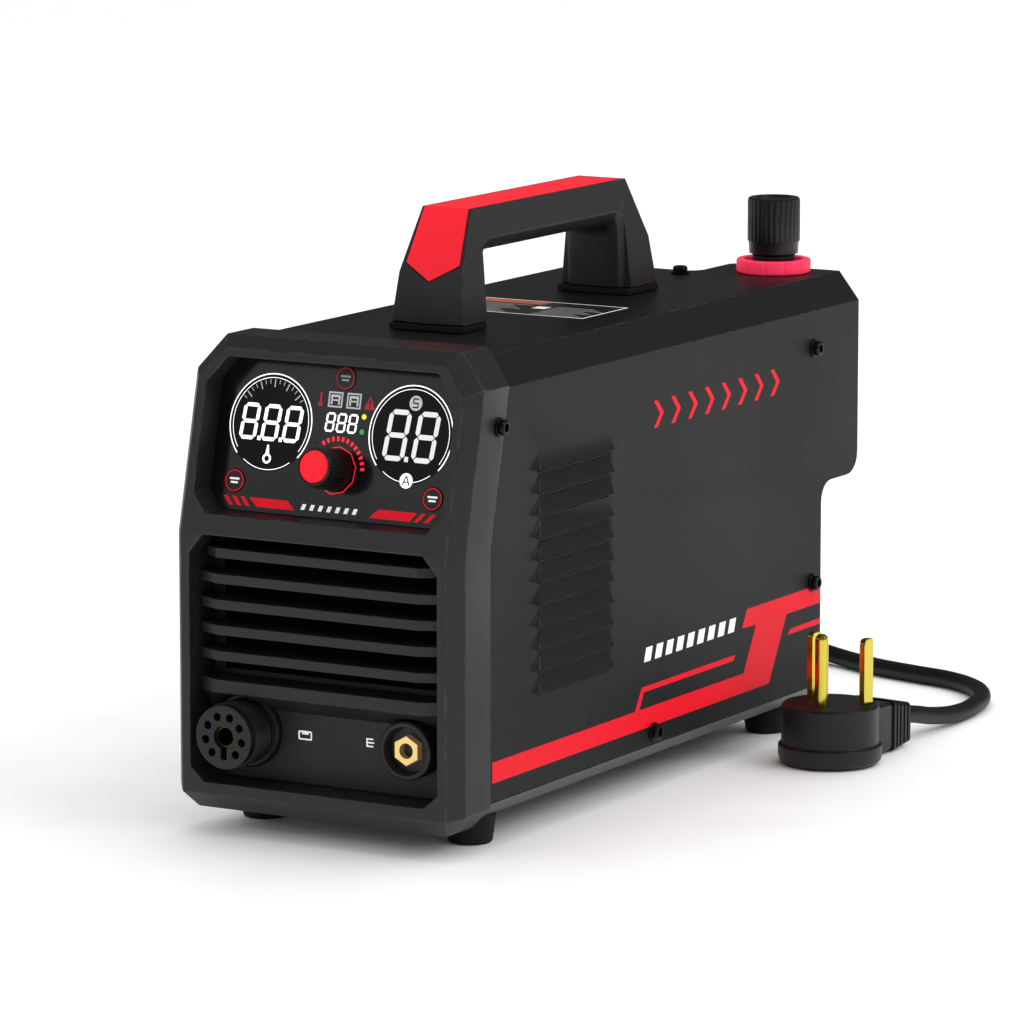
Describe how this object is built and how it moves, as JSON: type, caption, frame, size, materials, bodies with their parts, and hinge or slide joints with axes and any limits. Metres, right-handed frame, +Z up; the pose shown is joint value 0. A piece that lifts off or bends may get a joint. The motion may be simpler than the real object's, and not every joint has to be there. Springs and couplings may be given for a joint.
{
  "type": "plasma cutter power unit",
  "caption": "Portable inverter plasma cutting power unit with carrying handle, sloped control panel, grille, two front connectors, rear air regulator and mains lead with plug.",
  "frame": {"origin": "centre of the unit's own footprint on the floor, without the mains lead", "axes": "front towards -Y, +X to the right seen from the front, +Z up"},
  "size_m": [0.2587, 0.5338, 0.2832],
  "materials": {
    "bezel_plastic": "fine moulded texture, charcoal",
    "grille_plastic": "fine moulded texture, charcoal",
    "fascia_gloss": "glossy black panel",
    "circuit_board": "green solder mask",
    "knob_plastic": "ribbed black",
    "red_plastic": "satin red",
    "button_plastic": "satin black",
    "socket_plastic": "satin black",
    "brass_contact": "bright machined brass",
    "cover_paint": "satin black powder coat",
    "pan_paint": "satin dark grey powder coat",
    "handle_plastic": "fine moulded texture, black",
    "rubber": "matt black rubber",
    "black_steel": "black oxide",
    "regulator_metal": "die cast, coated dark grey",
    "bowl_clear": "clear polycarbonate",
    "fan_plastic": "moulded black",
    "guard_steel": "nickel plated wire",
    "sink_aluminium": "extruded",
    "capacitor_sleeve": "shrink sleeve",
    "ferrite": "matt ferrite",
    "copper_winding": "enamelled copper",
    "blue_hose": "polyurethane hose",
    "cord_jacket": "satin black jacket",
    "plug_plastic": "satin black moulding"
  },
  "bodies": {
    "housing": {"front_bezel": "bezel_plastic", "front_grille": "grille_plastic", "display_fascia": "fascia_gloss", "display_board": "circuit_board", "torch_socket": "socket_plastic", "ground_socket": "socket_plastic", "ground_socket_contact": "brass_contact", "housing_cover": "cover_paint", "base_pan": "pan_paint", "rear_panel": "cover_paint", "handle": "handle_plastic", "handle_inlay": "red_plastic", "handle_pad_front": "rubber", "handle_pad_rear": "rubber", "foot_front_left": "rubber", "foot_front_right": "rubber", "foot_rear_left": "rubber", "foot_rear_right": "rubber", "screw_upper_left": "black_steel", "screw_lower_left": "black_steel", "screw_middle_left": "black_steel", "screw_bezel_left": "black_steel", "screw_upper_right": "black_steel", "screw_lower_right": "black_steel", "screw_middle_right": "black_steel", "screw_bezel_right": "black_steel", "screw_top": "black_steel", "regulator_body": "regulator_metal", "regulator_ring": "red_plastic", "filter_bowl": "bowl_clear", "air_inlet": "brass_contact", "fan_frame": "fan_plastic", "fan_guard": "guard_steel", "switch_frame": "button_plastic", "cord_gland": "rubber", "heat_sink": "sink_aluminium", "power_board": "circuit_board", "bus_capacitor": "capacitor_sleeve", "transformer_core": "ferrite", "transformer_winding": "copper_winding", "air_valve": "brass_contact", "air_hose": "blue_hose", "air_feed_hose": "blue_hose", "power_cord_lead": "cord_jacket", "power_cord_run": "cord_jacket", "power_cord_coil": "cord_jacket", "plug_body": "plug_plastic", "plug_blade_left": "brass_contact", "plug_blade_right": "brass_contact", "plug_earth_pin": "brass_contact"},
    "encoder": {"encoder_knob": "knob_plastic", "encoder_cap": "red_plastic"},
    "unit_button": {"unit_button": "button_plastic"},
    "post_flow_button": {"post_flow_button": "button_plastic"},
    "mode_button": {"mode_button": "button_plastic"},
    "regulator_stem": {"regulator_stem": "knob_plastic"},
    "regulator_knob": {"regulator_knob": "knob_plastic"},
    "power_rocker": {"switch_rocker": "red_plastic"},
    "fan_rotor": {"fan_rotor": "fan_plastic"},
    "drain_button": {"drain_button": "button_plastic"}
  },
  "joints": [
    {"name": "encoder_turn", "type": "hinge", "parent": "housing", "child": "encoder", "pos_m": [0, -0.17703, 0.1723], "axis": [0, -0.9735, 0.2288], "continuous": true},
    {"name": "unit_press", "type": "slide", "parent": "housing", "child": "unit_button", "axis": [0, 0.9735, -0.2288], "range_m": [0, 0.0004], "stiffness_N_per_m": 300, "springref_m": -0.0005},
    {"name": "post_flow_press", "type": "slide", "parent": "housing", "child": "post_flow_button", "axis": [0, 0.9735, -0.2288], "range_m": [0, 0.0004], "stiffness_N_per_m": 300, "springref_m": -0.0005},
    {"name": "mode_press", "type": "slide", "parent": "housing", "child": "mode_button", "axis": [0, 0.9735, -0.2288], "range_m": [0, 0.0004], "stiffness_N_per_m": 300, "springref_m": -0.0005},
    {"name": "regulator_turn", "type": "hinge", "parent": "housing", "child": "regulator_stem", "pos_m": [0.0372, 0.18275, 0.232], "axis": [0, 0, 1], "range_deg": [-720, 720]},
    {"name": "regulator_pull", "type": "slide", "parent": "regulator_stem", "child": "regulator_knob", "axis": [0, 0, 1], "range_m": [0, 0.003]},
    {"name": "power_rock", "type": "hinge", "parent": "housing", "child": "power_rocker", "pos_m": [-0.04, 0.164, 0.186], "axis": [1, 0, 0], "range_deg": [-14, 0]},
    {"name": "fan_spin", "type": "hinge", "parent": "housing", "child": "fan_rotor", "pos_m": [-0.005, 0.148, 0.078], "axis": [0, 1, 0], "continuous": true},
    {"name": "drain_press", "type": "slide", "parent": "housing", "child": "drain_button", "axis": [0, 0, 1], "range_m": [0, 0.003], "stiffness_N_per_m": 200, "springref_m": -0.002}
  ]
}
